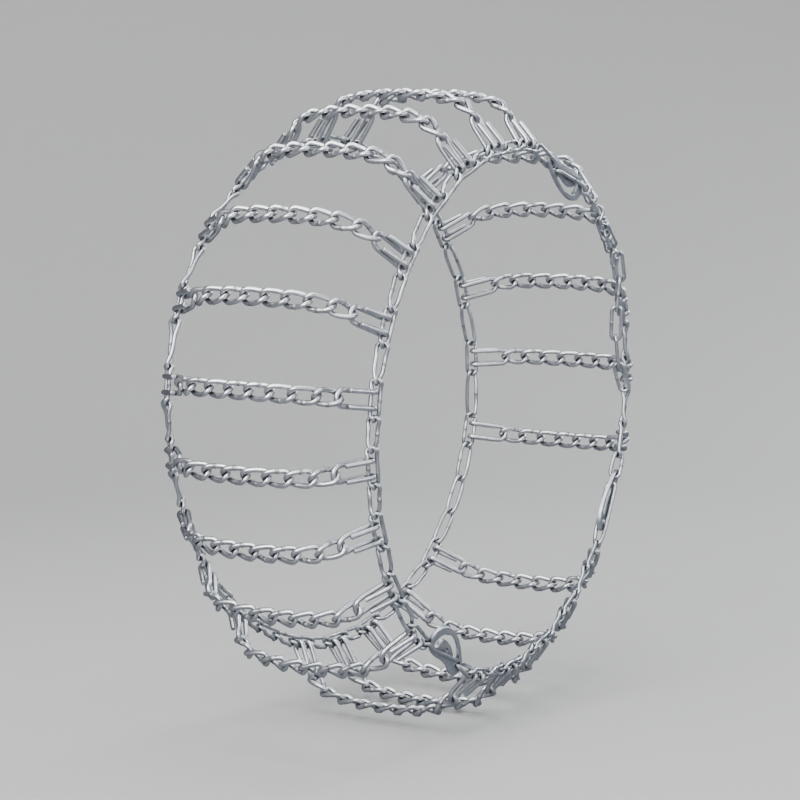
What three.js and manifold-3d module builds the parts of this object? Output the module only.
// Ladder-type tyre snow chain in its fitted shape: cross chains over the tread, an outer and an
// inner side chain, three cam tighteners, a lever fastener with its tail, and an inner closing hook.
// Built about the tyre's centre: wheel axle along Y, the outer (kerb) face towards -Y, +Z up.
// Angles run from +X towards +Z. Chains are drawn link by link with square-section wire.
import * as THREE from "three";
import { mergeVertices } from "three/addons/utils/BufferGeometryUtils.js";
import Module from "manifold-3d";

// ---------------------------------------------------------------- dimensions (mm, degrees)
// side chains
const SIDE_SQ = 3.9; // side of the wire's square section
const SIDE_HALF_WIDTH = 5.75; // bar centre to chain line
const OUTER_Y = -124.0; // plane of the outer side chain
const INNER_Y = 117.0; // plane of the inner side chain
const HOOKED_SPAN = 38.6; // contact to contact of a link that carries a cross chain
const WIDE_SPACE = 70; // a space between contacts longer than this takes three links
const GRIP = 2.45; // end bar centre beyond the contact where two pieces interlock
const WELD = 0.9; // the same inside one piece, where the end bars merge
const OUTER_PIECE_LINKS = 4;
const INNER_PIECE_LINKS = 5;
// radius of the outer side chain round the sidewall: mean, and first and second harmonics
const OUTER_RADIUS = { mean: 285.1, cos1: -1.3, sin1: -0.8, cos2: -8.2, sin2: 7.5 };

// shape of a rounded link
const LINK_CORNER = 3.5; // length of its cut corners along the link
const LINK_END_SHARE = 0.6; // half width of its end bars over that of the link
const TWIST_LENGTH = 18; // a twisted link has turned fully this far from its start

// cross chains
const CROSS_AT = [
  82.0, 95.6, 109.2, 123.6, 139.7, 155.6, 171.7, 186.1, 200.1, 214.1, 228.8, 256.6, 270.5, 284.2,
  298.8, 313.9, 345.6, 2.4, 18.9, 35.8, 51.0,
];
const CROSS_WIRE = 5.5; // wire diameter of cross links and hooks
const CROSS_SQ = 4.9; // side of the hook wire's square section
const CROSS_HALF_WIDTH = 7.5; // bar centre to chain line
const CROSS_LINKS = 8; // links in one cross chain
const CROSS_PITCH = 25.55; // contact to contact
const CROSS_THICK = 6.5; // thickness of the simplified strand
const STRAND = CROSS_LINKS * CROSS_PITCH - CROSS_WIRE; // between its two U bends

// end hooks of a cross chain
const HOOK_LEG = 40.5; // centre of the U bend to centre of the side-link bar
const HOOK_HALF = 8.5; // half the distance between the two legs
const HOOK_RETURN = 27.0; // length of the folded-back free end
const HOOK_LIFT = 4.9; // wire centre to the side-link bar's centre
// one half of the hook from free end to U bend: [along the leg, away from the tyre, sideways]
const HOOK_HALF_LINE = [
  [-HOOK_RETURN, 1.9, HOOK_HALF],
  [3.0, HOOK_LIFT, HOOK_HALF],
  [HOOK_LIFT, 3.0, HOOK_HALF],
  [HOOK_LIFT, -3.0, HOOK_HALF],
  [3.0, -HOOK_LIFT, HOOK_HALF],
  [-HOOK_LEG + 5.5, -HOOK_LIFT, HOOK_HALF],
  [-HOOK_LEG, -HOOK_LIFT + 1.5, HOOK_HALF * 0.5],
];

// half of the tyre section that the cross chains follow: [radius, distance from the mid plane]
const SECTION = [
  [352, 0], [352, 15], [350.5, 40], [347.5, 62], [342.5, 80], [335, 93], [325.5, 102.5],
  [314, 110.5], [300, 117], [285, 121], [270, 123],
];

// inner closing hook
const CLOSING_AT = { start: 71.4, end: 61.7 }; // contacts: first and last link of the inner chain
const CLOSING_SQ = 4.2;
const CLOSING_HALF = 5.6; // half distance between its bars
const CLOSING_NOSE = { half: 3.4, corner: 1.5 }; // half width of an end, length of its corners
const CLOSING_EYE_BACK = 7.5; // free end at the eye, back from the contact
const CLOSING_BILL = 14; // length of the open bill

// cam tighteners: disc centre (radius, angle), turn in the plate's plane, lean of the plate's
// outward normal towards the tread (its radial part), and the indices of the cross chains after
// and before which each one sits
const CAMS = [
  { radius: 283.24, angle: 63.31, turn: -8.2, lean: 0, after: 20, before: 0 },
  { radius: 269.8, angle: 328.2, turn: -2.0, lean: 0.25, after: 15, before: 16 },
  { radius: 285.9, angle: 239.5, turn: 2.0, lean: 0.44, after: 10, before: 11 },
];
// Plate points are [along the chain, outward] from the disc centre.
const CAM_THICK = 4.6;
const CAM_BEND = [26.9, 1.5]; // where the long link's bend sits in the slot
const CAM_EYE = [35.8, 5.5]; // eye for the next side link
const CAM_EYE_R = 3.4;
const CAM_HOLE = [0.6, -0.4]; // small round hole near the disc centre
const CAM_HOLE_R = 2.4;
const CAM_ARC_SEGMENTS = 4;
const CAM_OUTLINE = [
  [42.6, 18.2], [37, 19], [31, 17.6], [24, 14.6], [15, 12.9], [5, 12.3], [-7, 12.8],
  [-19.6, 10.8], [-28.9, 6], [-33.9, 0], [-35.3, -7.7], [-33, -15], [-26, -20.5],
  [-15.5, -22.6], [-4, -21.3], [8.5, -17.6], [20.1, -12.2], [30, -6.4], [38.8, -0.6],
  [45.2, 6.4], [47, 12.6],
];
const CAM_SLOT_LINE = [
  CAM_BEND, [20, -3.4], [10, -8.4], [0, -11.6], [-10, -12.6], [-17.6, -10], [-21, -4.4],
  [-20.4, 1],
];
const CAM_SLOT_HALF = 3.9;
const CAM_SLOT_CAP_R = CAM_SLOT_HALF * 1.06;
const CAM_SLOT_CAP_ANGLES = [-54, -18, 18, 54];
const CAM_LINK_HALF = 5.5; // half distance between the long link's bars
const CAM_LINK_SQ = SIDE_SQ - 0.2;
const CAM_LINK_GRIP = GRIP - 0.2;

// stretches of the outer side chain: the cam whose eye each starts in, and the cross chains it
// carries (`end` not included)
const OUTER_STRETCHES = [
  { cam: 0, first: 0, end: 11 },
  { cam: 2, first: 11, end: 16 },
  { cam: 1, first: 16, end: 20 },
  { cam: null, first: 20, end: 21 },
];

// lever fastener, between cross chains 20 and 19 (indices)
const PIN_ANGLE = 43.3;
const PIN_R = 1.9;
const PIN_BORE_R = 2.3;
const PIN_HEAD_R = 3.3;
const ROUND_SIDES = 12; // sides of the fastener's round parts
const SHACKLE_HALF = 9.5; // half distance between its legs
const SHACKLE_SQ = 4.2;
const SHACKLE_EYE_R = 4.6;
const SHACKLE_EYE_HALF = 2.3; // half thickness of its eyes
const SHACKLE_INSIDE = SHACKLE_HALF - SHACKLE_EYE_HALF;
const SHACKLE_OUTSIDE = SHACKLE_HALF + SHACKLE_EYE_HALF;
const BARREL_R = 4.2;
const BARREL_Y = [3.3, SHACKLE_INSIDE - 0.4];
const LEVER_PLATE_Z = [5.4, 8.4];
const LEVER_ROD_SQ = 3.4;
const LEVER_EYE = { outer: 6.6, bore: 3.6, halfThick: 2 };
const JOINING_HALF = 5.2; // half distance between the joining link's bars
// contacts of the tail: [radius, angle, y]
const TAIL = [
  [281.0, 35.4, -136], [271.5, 28.3, -135], [257.0, 21.3, -131], [250.0, 13.4, -128],
  [251.0, 5.5, -128], [261.0, 358.3, -132],
];
const TAIL_GRIP = GRIP + 0.3;

// ---------------------------------------------------------------- vectors and frames
const vec = (x, y, z) => new THREE.Vector3(x, y, z);
const rad = (deg) => (deg * Math.PI) / 180;
const radial = (deg) => vec(Math.cos(rad(deg)), 0, Math.sin(rad(deg)));
const tangent = (deg) => vec(-Math.sin(rad(deg)), 0, Math.cos(rad(deg)));
const polar = (radius, y, deg) => radial(deg).multiplyScalar(radius).add(vec(0, y, 0));
const angleOf = (p) => ((Math.atan2(p.z, p.x) * 180) / Math.PI + 360) % 360;
const shifted = (p, dir, by) => p.clone().addScaledVector(dir, by);
const direction = (from, to) => to.clone().sub(from).normalize();
const squareTo = (dir, v) => shifted(v, dir, -v.dot(dir)).normalize();
const pointIn = (frame, x, y, z = 0) =>
  frame.origin
    .clone()
    .addScaledVector(frame.x, x)
    .addScaledVector(frame.y, y)
    .addScaledVector(frame.z, z);

// ---------------------------------------------------------------- solids
const wasm = await Module();
wasm.setup();

function geometryOf(positions, index) {
  const geometry = new THREE.BufferGeometry();
  geometry.setAttribute("position", new THREE.Float32BufferAttribute(positions, 3));
  geometry.setIndex(index);
  return geometry;
}

function solidOf(geometry) {
  for (const key of Object.keys(geometry.attributes)) {
    if (key !== "position") geometry.deleteAttribute(key);
  }
  const merged = mergeVertices(geometry, 1e-4);
  const solid = new wasm.Manifold(
    new wasm.Mesh({
      numProp: 3,
      vertProperties: merged.attributes.position.array,
      triVerts: new Uint32Array(merged.index.array),
    }),
  );
  if (solid.volume() < 0) throw new Error("inside out");
  return solid;
}

const join = (solids) => solids.reduce((a, b) => a.add(b));

// Rings of equal corner count joined into a solid; closed rings meet, open ones get flat ends.
function loft(rings, closed = false) {
  const points = rings.flat();
  const corners = rings[0].length;
  const triangles = [];
  const spans = closed ? rings.length : rings.length - 1;
  for (let i = 0; i < spans; i++) {
    const a = i * corners;
    const b = ((i + 1) % rings.length) * corners;
    for (let j = 0; j < corners; j++) {
      const next = (j + 1) % corners;
      triangles.push([a + j, b + j, b + next], [a + j, b + next, a + next]);
    }
  }
  if (!closed) {
    const end = (rings.length - 1) * corners;
    for (let j = 1; j < corners - 1; j++) {
      triangles.push([0, j, j + 1], [end, end + j + 1, end + j]);
    }
  }
  // a negative volume means that the faces point inwards
  const volume = triangles.reduce(
    (sum, [a, b, c]) => sum + points[a].dot(points[b].clone().cross(points[c])),
    0,
  );
  const index = triangles.flatMap(([a, b, c]) => (volume < 0 ? [a, c, b] : [a, b, c]));
  return solidOf(geometryOf(points.flatMap((p) => p.toArray()), index));
}

// A square wire swept along points with mitred corners; `up` is one side's normal at the start.
function wire(points, side, up, closed = false) {
  const count = points.length;
  const half = side / 2;
  let normal = up.clone().normalize();
  let previous = null;
  const rings = points.map((point, i) => {
    const before = closed ? points.at(i - 1) : points[Math.max(0, i - 1)];
    const after = closed ? points[(i + 1) % count] : points[Math.min(count - 1, i + 1)];
    const dirIn = point.clone().sub(before);
    const dirOut = after.clone().sub(point);
    if (dirIn.lengthSq() < 1e-12) dirIn.copy(dirOut);
    if (dirOut.lengthSq() < 1e-12) dirOut.copy(dirIn);
    dirIn.normalize();
    dirOut.normalize();
    if (previous) {
      normal.applyQuaternion(new THREE.Quaternion().setFromUnitVectors(previous, dirIn));
    }
    normal = squareTo(dirIn, normal);
    previous = dirIn;
    const binormal = dirIn.clone().cross(normal).normalize();
    const mitre = dirIn.clone().add(dirOut).normalize();
    // corners of the section are carried along dirIn onto the mitre plane
    return [[half, half], [-half, half], [-half, -half], [half, -half]].map(([a, b]) => {
      const corner = normal.clone().multiplyScalar(a).addScaledVector(binormal, b);
      corner.addScaledVector(dirIn, -corner.dot(mitre) / dirIn.dot(mitre));
      return point.clone().add(corner);
    });
  });
  return loft(rings, closed);
}

// A link between the centres of its end bars. `stations` run down one bar as
// [distance from start, half width]; acrossAt(distance) is the way the two bars stand apart.
function linkThrough(start, end, stations, acrossAt, wireSide) {
  const along = direction(start, end);
  const at = (s, offset) => shifted(shifted(start, along, s), acrossAt(s), offset);
  const there = stations.map(([s, half]) => at(s, half));
  const back = stations.map(([s, half]) => at(s, -half)).reverse();
  return wire([...there, ...back], wireSide, along.cross(acrossAt(0)), true);
}

// A flat link; a plain one is a rectangle, the others have cut corners.
function linkSolid({ start, end, across, halfWidth, wireSide = SIDE_SQ, plain = false }) {
  const length = start.distanceTo(end);
  const endHalf = halfWidth * LINK_END_SHARE;
  const apart = squareTo(direction(start, end), across);
  const stations = plain
    ? [[0, halfWidth], [length, halfWidth]]
    : [
        [0, endHalf],
        [LINK_CORNER, halfWidth],
        [length - LINK_CORNER, halfWidth],
        [length, endHalf],
      ];
  return linkThrough(start, end, stations, () => apart, wireSide);
}

// A link whose bars stand apart along `from` at its start, and along `to` after the twist.
function twistedLink({ start, end, from, to, halfWidth, wireSide }) {
  const along = direction(start, end);
  const length = start.distanceTo(end);
  const endHalf = halfWidth * LINK_END_SHARE;
  const first = squareTo(along, from);
  const last = squareTo(along, to);
  const acrossAt = (s) =>
    squareTo(along, first.clone().lerp(last, Math.min(1, s / TWIST_LENGTH)));
  const stations = [
    [0, endHalf],
    [LINK_CORNER, halfWidth],
    [TWIST_LENGTH, halfWidth],
    [length - LINK_CORNER, halfWidth],
    [length, endHalf],
  ];
  return linkThrough(start, end, stations, acrossAt, wireSide);
}

// ---------------------------------------------------------------- tyre section and hook seats
const SECTION_LENGTH = SECTION.slice(1).reduce(
  (sum, [r, y], i) => sum + Math.hypot(r - SECTION[i][0], y - SECTION[i][1]),
  0,
);

// [radius, y] on the section at a distance from the mid plane, negative on the outer side
function sectionAt(distance) {
  const sign = distance < 0 ? -1 : 1;
  let left = Math.abs(distance);
  for (let i = 0; i + 1 < SECTION.length; i++) {
    const [r0, y0] = SECTION[i];
    const [r1, y1] = SECTION[i + 1];
    const length = Math.hypot(r1 - r0, y1 - y0);
    if (left <= length || i + 2 === SECTION.length) {
      const f = left / length;
      return [r0 + (r1 - r0) * f, (y0 + (y1 - y0) * f) * sign];
    }
    left -= length;
  }
}

// How a cross chain meets a side chain, in (radius, y): the U bend's distance along the section,
// the side-link bar, the leg's direction towards the hub and the normal away from the tyre.
function hookFrame(chainR, chainY) {
  const sign = Math.sign(chainY);
  // the U bend is the first section point one hook leg away from the bar
  for (let distance = 60; distance < SECTION_LENGTH; distance += 0.05) {
    const [r, y] = sectionAt(distance * sign);
    const length = Math.hypot(chainR - r, chainY - y);
    const leg = [(chainR - r) / length, (chainY - y) / length];
    const bar = [chainR - leg[0] * SIDE_HALF_WIDTH, chainY - leg[1] * SIDE_HALF_WIDTH];
    if (Math.hypot(bar[0] - r, bar[1] - y) <= HOOK_LEG) {
      const normal = leg[0] * sign < 0 ? [leg[1], -leg[0]] : [-leg[1], leg[0]];
      return { distance, bar, leg, normal };
    }
  }
  throw new Error("the hook leg does not reach the side chain");
}

function outerRadius(deg) {
  const a = rad(deg);
  const { mean, cos1, sin1, cos2, sin2 } = OUTER_RADIUS;
  const first = cos1 * Math.cos(a) + sin1 * Math.sin(a);
  return mean + first + cos2 * Math.cos(2 * a) + sin2 * Math.sin(2 * a);
}

// The strand has a fixed length, so the inner side chain lies further in where the outer one lies
// further out: its radius is found from the outer one's by halving an interval.
const innerRadii = new Map();
function innerRadius(deg) {
  const key = (Math.round((((deg % 360) + 360) % 360) * 1000) / 1000) % 360;
  if (!innerRadii.has(key)) {
    const wanted = STRAND - hookFrame(outerRadius(key), OUTER_Y).distance;
    let low = 270;
    let high = 330;
    for (let i = 0; i < 24; i++) {
      const middle = (low + high) / 2;
      if (hookFrame(middle, INNER_Y).distance > wanted) low = middle;
      else high = middle;
    }
    innerRadii.set(key, (low + high) / 2);
  }
  return innerRadii.get(key);
}

const OUTER = { y: OUTER_Y, radiusAt: outerRadius };
const INNER = { y: INNER_Y, radiusAt: innerRadius };
const hookFrameAt = (chain, deg) => hookFrame(chain.radiusAt(deg), chain.y);
const chainPoint = (chain, deg) => polar(chain.radiusAt(deg), chain.y, deg);

// directions on the sidewall at a point: towards the hub, and away from the tyre
function sidewallAt(chain, point) {
  const deg = angleOf(point);
  const { leg, normal } = hookFrameAt(chain, deg);
  return { across: polar(...leg, deg), normal: polar(...normal, deg) };
}

// the two contacts of the side link that carries a cross chain, smaller angle first
function hookedEnds(chain, deg) {
  const centre = chainPoint(chain, deg);
  return [-1, 1].map((sign) => shifted(centre, tangent(deg), (sign * HOOKED_SPAN) / 2));
}

// ---------------------------------------------------------------- materials and scene
const steel = ({ color, roughness }) =>
  new THREE.MeshStandardMaterial({ color, roughness, metalness: 0.9, flatShading: true });
const MATERIALS = {
  cross: steel({ color: 0xc9ccd2, roughness: 0.32 }),
  side: steel({ color: 0xc2c5cb, roughness: 0.34 }),
  cam: steel({ color: 0x8f949c, roughness: 0.5 }),
  lever: steel({ color: 0x8a8f97, roughness: 0.48 }),
  tail: steel({ color: 0xbfc2c8, roughness: 0.34 }),
};

const root = new THREE.Group();

function add(name, solid, material, parent = root) {
  const { vertProperties, triVerts } = solid.getMesh();
  const geometry = geometryOf(Array.from(vertProperties), Array.from(triVerts));
  const mesh = new THREE.Mesh(geometry, material);
  mesh.name = name;
  parent.add(mesh);
}

const twoDigits = (i) => String(i + 1).padStart(2, "0");

// ---------------------------------------------------------------- cross chains
// Local frame of a cross chain: X radial, Y axle, Z tangential.
function hookSolid({ bar, leg, normal }) {
  const half = (sign) =>
    HOOK_HALF_LINE.map(([along, lift, sideways]) =>
      vec(
        bar[0] + leg[0] * along + normal[0] * lift,
        bar[1] + leg[1] * along + normal[1] * lift,
        sign * sideways,
      ),
    );
  return wire([...half(1), ...half(-1).reverse()], CROSS_SQ, vec(0, 0, 1));
}

// strand from the outer U bend to the inner one, wide at each link and narrow at each joint
function strandSolid(start, end) {
  const steps = CROSS_LINKS * 2;
  const lift = CROSS_THICK / 2;
  const rings = [];
  for (let i = 0; i <= steps; i++) {
    const distance = start + ((end - start) * i) / steps;
    const [r, y] = sectionAt(distance);
    const [rBefore, yBefore] = sectionAt(distance - 1);
    const [rAfter, yAfter] = sectionAt(distance + 1);
    const length = Math.hypot(rAfter - rBefore, yAfter - yBefore);
    const normal = [(yAfter - yBefore) / length, -(rAfter - rBefore) / length];
    const half = i % 2 ? CROSS_HALF_WIDTH + CROSS_WIRE / 2 : CROSS_HALF_WIDTH - CROSS_WIRE * 0.35;
    const corner = (h, sideways) => vec(r + normal[0] * h, y + normal[1] * h, sideways);
    rings.push([
      corner(lift, half),
      corner(-lift, half),
      corner(-lift, -half),
      corner(lift, -half),
    ]);
  }
  return loft(rings);
}

function addCrossChain(deg, i) {
  const outer = hookFrameAt(OUTER, deg);
  const inner = hookFrameAt(INNER, deg);
  const strand = strandSolid(-outer.distance, inner.distance);
  const group = new THREE.Group();
  group.rotation.y = -rad(deg);
  root.add(group);
  const solid = join([strand, hookSolid(outer), hookSolid(inner)]);
  add(`cross_chain_${twoDigits(i)}`, solid, MATERIALS.cross, group);
}

// ---------------------------------------------------------------- side chains
// Contacts of a side chain that carries cross chains at `angles`, with `flat` telling which links
// carry one; a single link fills each space between them, or three where the space is wide.
function contactsOf(chain, angles, start, end) {
  const contacts = start ? [start] : [];
  const flat = [];
  for (const deg of angles) {
    const [near, far] = hookedEnds(chain, deg);
    const before = contacts.at(-1);
    if (before) {
      if (before.distanceTo(near) > WIDE_SPACE) {
        for (const f of [1 / 3, 2 / 3]) {
          contacts.push(chainPoint(chain, angleOf(before.clone().lerp(near, f))));
        }
        flat.push(false, true);
      }
      flat.push(false);
    }
    contacts.push(near, far);
    flat.push(true);
  }
  if (end) {
    flat.push(false);
    contacts.push(end);
  }
  return { contacts, flat };
}

// every `step`-th contact below `limit`
function cutsEvery(step, limit) {
  const cuts = new Set();
  for (let k = step; k < limit; k += step) cuts.add(k);
  return cuts;
}

// The pieces of a run of links. Flat links lie on the sidewall, bars apart along the hook
// direction; the others stand on edge. At the contacts in `cuts` one piece ends and the next
// begins, and their links interlock with a running gap.
function linkRun({ chain, contacts, flat, cuts, startReach = GRIP, firstAcross, plain }) {
  const lastContact = contacts.length - 1;
  const reachAt = (k) => {
    if (k === 0) return startReach;
    return k === lastContact || cuts.has(k) ? GRIP : WELD;
  };
  const pieces = [];
  let links = [];
  for (let k = 0; k < lastContact; k++) {
    const [a, b] = [contacts[k], contacts[k + 1]];
    const along = direction(a, b);
    const { across, normal } = sidewallAt(chain, a.clone().add(b).multiplyScalar(0.5));
    const own = flat[k] ? across : normal;
    links.push(
      linkSolid({
        start: shifted(a, along, -reachAt(k)),
        end: shifted(b, along, reachAt(k + 1)),
        across: (k === 0 && firstAcross) || own,
        halfWidth: SIDE_HALF_WIDTH,
        plain,
      }),
    );
    if (k + 1 === lastContact || cuts.has(k + 1)) {
      pieces.push(join(links));
      links = [];
    }
  }
  return pieces;
}

// a length of the outer side chain, starting in a cam's eye where it has one
function outerStretch({ cam, first, end }) {
  const frame = cam === null ? null : camFrames[cam];
  const start = frame && pointIn(frame, ...CAM_EYE);
  const run = contactsOf(OUTER, CROSS_AT.slice(first, end), start);
  const cuts = cutsEvery(OUTER_PIECE_LINKS, run.contacts.length - 1);
  const seat = frame ? { startReach: 0, firstAcross: frame.outward } : {};
  return linkRun({ chain: OUTER, ...run, cuts, ...seat });
}

// the inner side chain: a ring that its closing hook completes
function addInnerChain() {
  const start = chainPoint(INNER, CLOSING_AT.start);
  const end = chainPoint(INNER, CLOSING_AT.end);
  const run = contactsOf(INNER, CROSS_AT, start, end);
  // the last piece takes the remaining links
  const cuts = cutsEvery(INNER_PIECE_LINKS, run.contacts.length - 3);
  linkRun({ chain: INNER, ...run, cuts, plain: true }).forEach((solid, i) =>
    add(`side_chain_inner_${twoDigits(i)}`, solid, MATERIALS.side),
  );
  add("inner_closing_hook", closingHook(end, start), MATERIALS.lever);
}

// an eye on the ring's first link and an open bill round its last one
function closingHook(last, first) {
  const { across, normal } = sidewallAt(INNER, last);
  const origin = last.clone().add(first).multiplyScalar(0.5);
  const frame = { origin, x: direction(last, first), y: across, z: normal };
  const half = last.distanceTo(first) / 2;
  const reach = half + GRIP + 0.1;
  const nose = (sign) => [
    [sign * (reach - CLOSING_NOSE.corner), CLOSING_HALF],
    [sign * reach, CLOSING_NOSE.half],
    [sign * reach, -CLOSING_NOSE.half],
    [sign * (reach - CLOSING_NOSE.corner), -CLOSING_HALF],
  ];
  const line = [
    [half - CLOSING_EYE_BACK, CLOSING_HALF],
    ...nose(1),
    ...nose(-1).reverse(),
    [-reach + CLOSING_BILL, CLOSING_HALF],
  ];
  return wire(line.map(([x, y]) => pointIn(frame, x, y)), CLOSING_SQ, normal);
}

// ---------------------------------------------------------------- cam tighteners
// Frame of a cam plate: x along the chain, y outward in the plate's plane. The taut chain line
// from the link before the cam (ending at `far`) to the one after it lies in that plane.
function camFrame({ radius, angle, turn, lean, after, before }) {
  const far = hookedEnds(OUTER, CROSS_AT[after])[1];
  const next = hookedEnds(OUTER, CROSS_AT[before])[0];
  const chainX = direction(far, next);
  const outward = squareTo(chainX, radial(angle))
    .multiplyScalar(lean)
    .addScaledVector(squareTo(chainX, vec(0, -1, 0)), Math.sqrt(1 - lean ** 2))
    .normalize();
  const chainY = chainX.clone().cross(outward);
  if (chainY.dot(radial(angle)) < 0) chainY.negate();
  const cos = Math.cos(rad(turn));
  const sin = Math.sin(rad(turn));
  const x = chainX.clone().multiplyScalar(cos).addScaledVector(chainY, sin);
  const y = chainX.clone().multiplyScalar(-sin).addScaledVector(chainY, cos);
  const origin = polar(radius, 0, angle);
  origin.y = (far.dot(outward) - origin.dot(outward)) / outward.y;
  return { origin, x, y, z: x.clone().cross(y), outward, far };
}
const camFrames = CAMS.map(camFrame);

// the curved slot: both sides of its centre line, and a rounded cap at each end
function slotOutline() {
  const line = CAM_SLOT_LINE.map(([x, y]) => new THREE.Vector2(x, y));
  const left = [];
  const right = [];
  line.forEach((point, i) => {
    const after = line[Math.min(i + 1, line.length - 1)];
    const dir = after.clone().sub(line[Math.max(i - 1, 0)]).normalize();
    const offset = new THREE.Vector2(-dir.y, dir.x).multiplyScalar(CAM_SLOT_HALF);
    left.push(point.clone().add(offset));
    right.push(point.clone().sub(offset));
  });
  const cap = (tip, inside) => {
    const heading = Math.atan2(tip.y - inside.y, tip.x - inside.x);
    return CAM_SLOT_CAP_ANGLES.map((deg) => {
      const a = heading + rad(deg);
      return new THREE.Vector2(
        tip.x + CAM_SLOT_CAP_R * Math.cos(a),
        tip.y + CAM_SLOT_CAP_R * Math.sin(a),
      );
    }).reverse();
  };
  const endCap = cap(line.at(-1), line.at(-2));
  return [...left, ...endCap, ...right.reverse(), ...cap(line[0], line[1])];
}

function camPlate() {
  const shape = new THREE.Shape(CAM_OUTLINE.map(([x, y]) => new THREE.Vector2(x, y)));
  const round = (centre, radius) =>
    new THREE.Path().absarc(...centre, radius, 0, Math.PI * 2, false);
  shape.holes.push(
    new THREE.Path(slotOutline()),
    round(CAM_EYE, CAM_EYE_R),
    round(CAM_HOLE, CAM_HOLE_R),
  );
  const geometry = new THREE.ExtrudeGeometry(shape, {
    depth: CAM_THICK,
    bevelEnabled: false,
    curveSegments: CAM_ARC_SEGMENTS,
  });
  geometry.translate(0, 0, -CAM_THICK / 2);
  return solidOf(geometry);
}

// the long link: one bar over the plate's face, one behind, its bend through the slot
function camLink(frame) {
  const bend = pointIn(frame, ...CAM_BEND);
  return twistedLink({
    start: shifted(frame.far, direction(frame.far, bend), -CAM_LINK_GRIP),
    end: bend,
    from: sidewallAt(OUTER, frame.far).normal,
    to: frame.outward,
    halfWidth: CAM_LINK_HALF,
    wireSide: CAM_LINK_SQ,
  });
}

function addCam(frame, i) {
  const { x, y, z, origin } = frame;
  const group = new THREE.Group();
  group.applyMatrix4(new THREE.Matrix4().makeBasis(x, y, z).setPosition(origin));
  root.add(group);
  add(`cam_${i + 1}`, camPlate(), MATERIALS.cam, group);
  add(`cam_link_${i + 1}`, camLink(frame), MATERIALS.side);
}

// ---------------------------------------------------------------- lever fastener and tail
// Frame on the shackle pin: x towards smaller angles, y towards the hub, z away from the tyre.
function makePinFrame() {
  const origin = chainPoint(OUTER, PIN_ANGLE);
  const { across, normal } = sidewallAt(OUTER, origin);
  return { origin, x: tangent(PIN_ANGLE).negate(), y: across.normalize(), z: normal.normalize() };
}
const pinFrame = makePinFrame();
const atPin = (x, y, z) => pointIn(pinFrame, x, y, z);

function inPinFrame(point) {
  const offset = point.clone().sub(pinFrame.origin);
  return [offset.dot(pinFrame.x), offset.dot(pinFrame.y), offset.dot(pinFrame.z)];
}

const tailContacts = TAIL.map(([radius, deg, y]) => polar(radius, y, deg));

function circle(radius, centreX = 0, centreY = 0) {
  return Array.from({ length: ROUND_SIDES }, (_, i) => {
    const a = (i * 2 * Math.PI) / ROUND_SIDES;
    return [centreX + radius * Math.cos(a), centreY + radius * Math.sin(a)];
  });
}
// a round bar on the pin's axis between two y values
const rod = (y0, y1, radius) =>
  loft([y0, y1].map((y) => circle(radius).map(([x, z]) => atPin(x, y, z))));
// an [x, y] outline between two z values
const plate = (outline, z0, z1) =>
  loft([z0, z1].map((z) => outline.map(([x, y]) => atPin(x, y, z))));
const box = ([x0, x1], [y0, y1], [z0, z1]) =>
  loft([x0, x1].map((x) => [[y0, z0], [y1, z0], [y1, z1], [y0, z1]].map(([y, z]) => atPin(x, y, z))));
const pinBore = () => rod(-30, 30, PIN_BORE_R);

// a U whose nose is turned on edge round the side link at its larger-angle end
function shackle() {
  const [noseX, noseY, noseZ] = inPinFrame(hookedEnds(OUTER, CROSS_AT[20])[0]);
  const atNose = (x, y, z) => atPin(noseX + x, noseY + y, noseZ + z);
  const leg = (sign) => [
    atPin(0, sign * SHACKLE_HALF, 0),
    atPin(-9, sign * SHACKLE_HALF, 0),
    atNose(3.6, sign * 3.2, sign * 6.2),
    atNose(-GRIP - 0.2, 0, sign * 4.8),
  ];
  const eyes = [-1, 1].map((sign) => {
    const y = sign * SHACKLE_HALF;
    return rod(y - SHACKLE_EYE_HALF, y + SHACKLE_EYE_HALF, SHACKLE_EYE_R);
  });
  const bow = wire([...leg(1), ...leg(-1).reverse()], SHACKLE_SQ, pinFrame.z);
  return join([bow, ...eyes]).subtract(pinBore());
}

// pin with a flat head at each end
function pin() {
  const end = SHACKLE_OUTSIDE;
  return join([
    rod(-end - 1.6, end + 1.6, PIN_R),
    rod(-end - 1.8, -end - 0.4, PIN_HEAD_R),
    rod(end + 0.4, end + 1.8, PIN_HEAD_R),
  ]);
}

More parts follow.
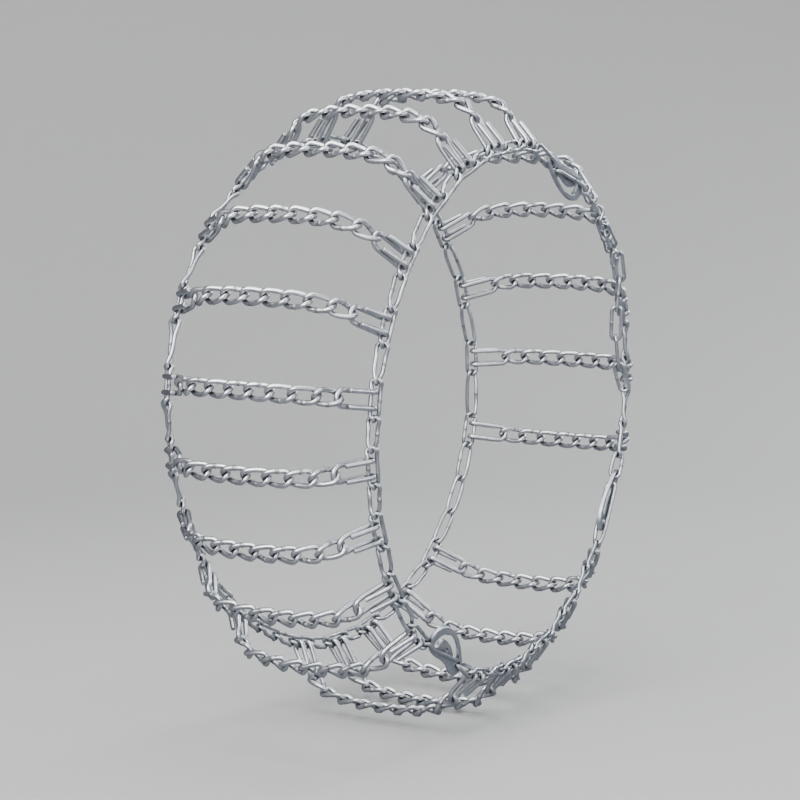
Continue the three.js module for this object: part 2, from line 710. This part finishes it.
// barrel on the pin, triangular plate over the chain, rod and eye for the tail
function lever() {
  const [tailX, tailY, tailZ] = inPinFrame(tailContacts[0]);
  const [innerEdge] = BARREL_Y;
  const triangle = [
    [1.2, innerEdge], [2.5, innerEdge], [26, tailY - 3.2], [26, tailY + 3.2], [1.2, 18.9],
  ];
  const tab = [[-7, 12.4], [1.6, 12.4], [1.6, 18.9], [-4.5, 19.5], [-7, 17.5]];
  const body = join([
    rod(...BARREL_Y, BARREL_R),
    box([-2.5, 2.5], BARREL_Y, [2.0, 8.2]), // joins the barrel to the plate
    plate(triangle, ...LEVER_PLATE_Z),
    plate(tab, ...LEVER_PLATE_Z),
  ]).subtract(pinBore());
  const rodLine = [atPin(24, tailY, 6.7), atPin(tailX - 5.5, tailY, tailZ)];
  const disc = (radius, half) =>
    plate(circle(radius, tailX, tailY), tailZ - half, tailZ + half);
  return body
    .add(wire(rodLine, LEVER_ROD_SQ, pinFrame.z))
    .add(disc(LEVER_EYE.outer, LEVER_EYE.halfThick))
    .subtract(disc(LEVER_EYE.bore, 9));
}

// link from the pin to the next side link
function joiningLink() {
  const { origin, y, z } = pinFrame;
  const next = hookedEnds(OUTER, CROSS_AT[19])[1];
  const along = direction(origin, next);
  return linkSolid({
    start: shifted(shifted(origin, along, -(PIN_R + 2.5)), y, -1),
    end: shifted(next, along, GRIP),
    across: z,
    halfWidth: JOINING_HALF,
  });
}

// tail link k, every other one turned by a quarter; the tail's two ends stop at their contacts
function tailLink(k) {
  const [a, b] = [tailContacts[k], tailContacts[k + 1]];
  const along = direction(a, b);
  return linkSolid({
    start: shifted(a, along, k > 0 ? -TAIL_GRIP : 0),
    end: shifted(b, along, k + 2 < tailContacts.length ? TAIL_GRIP : 0),
    across: k % 2 ? along.clone().cross(pinFrame.z) : pinFrame.z,
    halfWidth: SIDE_HALF_WIDTH,
  });
}

// ---------------------------------------------------------------- assembly
CROSS_AT.forEach(addCrossChain);
OUTER_STRETCHES.flatMap(outerStretch).forEach((solid, i) =>
  add(`side_chain_outer_${twoDigits(i)}`, solid, MATERIALS.side),
);
addInnerChain();
camFrames.forEach(addCam);
add("fastener_shackle", shackle(), MATERIALS.side);
add("fastener_pin", pin(), MATERIALS.lever);
add("fastener_lever", lever(), MATERIALS.lever);
add("fastener_link", joiningLink(), MATERIALS.side);
for (let k = 0; k + 1 < tailContacts.length; k++) {
  add(`tail_link_${k + 1}`, tailLink(k), MATERIALS.tail);
}

// The origin moves to the middle of the whole chain's box; the axle stays parallel to Y.
root.updateMatrixWorld(true);
const middle = new THREE.Box3().setFromObject(root, true).getCenter(vec(0, 0, 0));
root.position.copy(middle.negate());

export default root;
